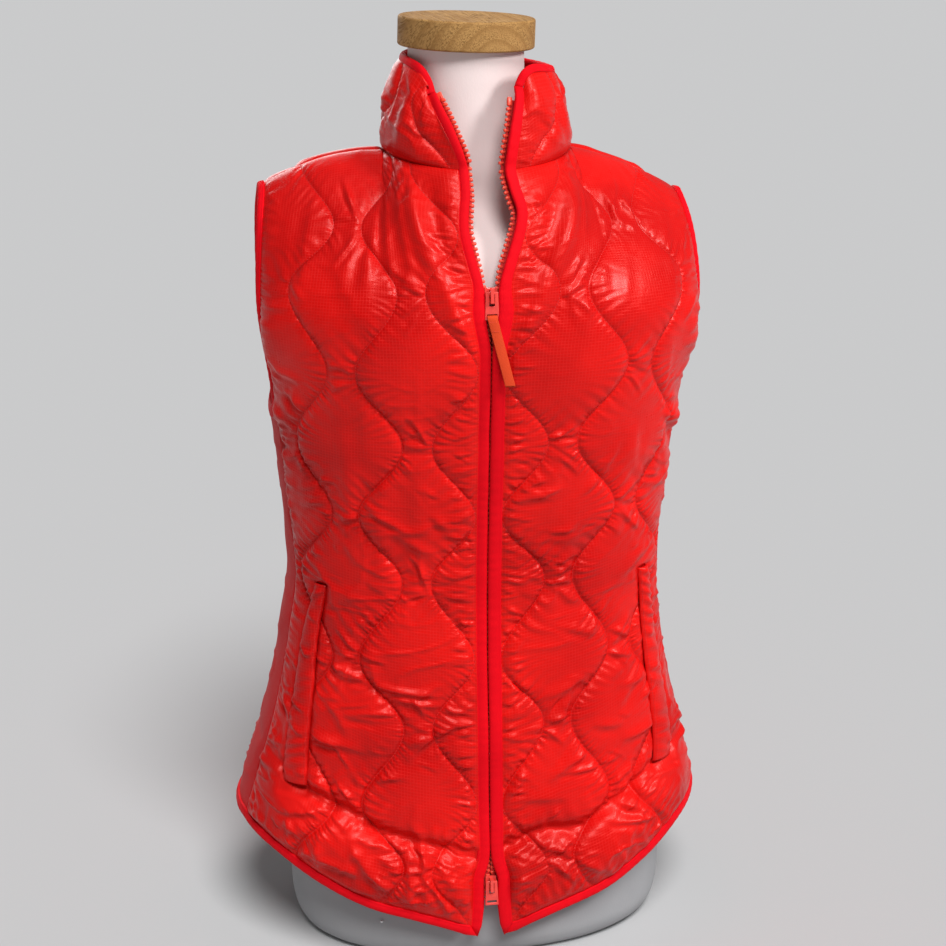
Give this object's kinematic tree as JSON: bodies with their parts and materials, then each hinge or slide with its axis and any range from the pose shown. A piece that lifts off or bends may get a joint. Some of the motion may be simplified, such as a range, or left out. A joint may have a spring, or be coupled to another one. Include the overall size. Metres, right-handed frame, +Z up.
{
  "type": "puffer vest on dress form",
  "caption": "Quilted sleeveless puffer vest with stand collar and part-open front zip, standing on a limbless dress form with a round wooden neck cap.",
  "frame": {"origin": "on the floor plane, on the dress form's flat underside, below the axis of the neck and under the zip's mid-plane", "axes": "+Z up along the dress form, -Y out of the front of the vest through the zip, +X towards the wearer's left"},
  "size_m": [0.4164, 0.2654, 0.8024],
  "materials": {
    "quilted_ripstop": "thin glossy coated ripstop, quilted over light wadding",
    "stretch_panel": "smooth matte stretch jersey",
    "knit_binding": "folded knit binding, matte",
    "zip_chain": "moulded teeth on woven tape",
    "slider_enamel": "red enamel on die-cast sliders and tabs",
    "puller_webbing": "folded webbing strip with cross stitches",
    "form_jersey": "pale grey stretch jersey drawn smooth over the form",
    "neck_cap_wood": "oiled golden hardwood, turned"
  },
  "bodies": {
    "vest_on_form": {"form_body": "form_jersey", "form_neck_cap": "neck_cap_wood", "front_right": "quilted_ripstop", "front_left": "quilted_ripstop", "back": "quilted_ripstop", "collar": "quilted_ripstop", "side_panel_right": "stretch_panel", "side_panel_left": "stretch_panel", "pocket_welt_right": "quilted_ripstop", "pocket_welt_left": "quilted_ripstop", "binding_armhole_right": "knit_binding", "binding_armhole_left": "knit_binding", "binding_front_right": "knit_binding", "binding_front_left": "knit_binding", "binding_collar": "knit_binding", "binding_hem": "knit_binding", "zip_right": "zip_chain", "zip_left": "zip_chain", "slider_upper": "slider_enamel", "slider_lower": "slider_enamel"},
    "upper_pull": {"pull_tab_upper": "slider_enamel", "puller_strip": "puller_webbing"},
    "lower_pull": {"pull_tab_lower": "slider_enamel"}
  },
  "joints": [
    {"name": "upper_pull_swing", "type": "hinge", "parent": "vest_on_form", "child": "upper_pull", "pos_m": [0, -0.11974, 0.60091], "axis": [-1, 0, 0], "range_deg": [0, 150]},
    {"name": "lower_pull_swing", "type": "hinge", "parent": "vest_on_form", "child": "lower_pull", "pos_m": [0, -0.12835, 0.08677], "axis": [-1, 0, 0], "range_deg": [0, 150]}
  ]
}
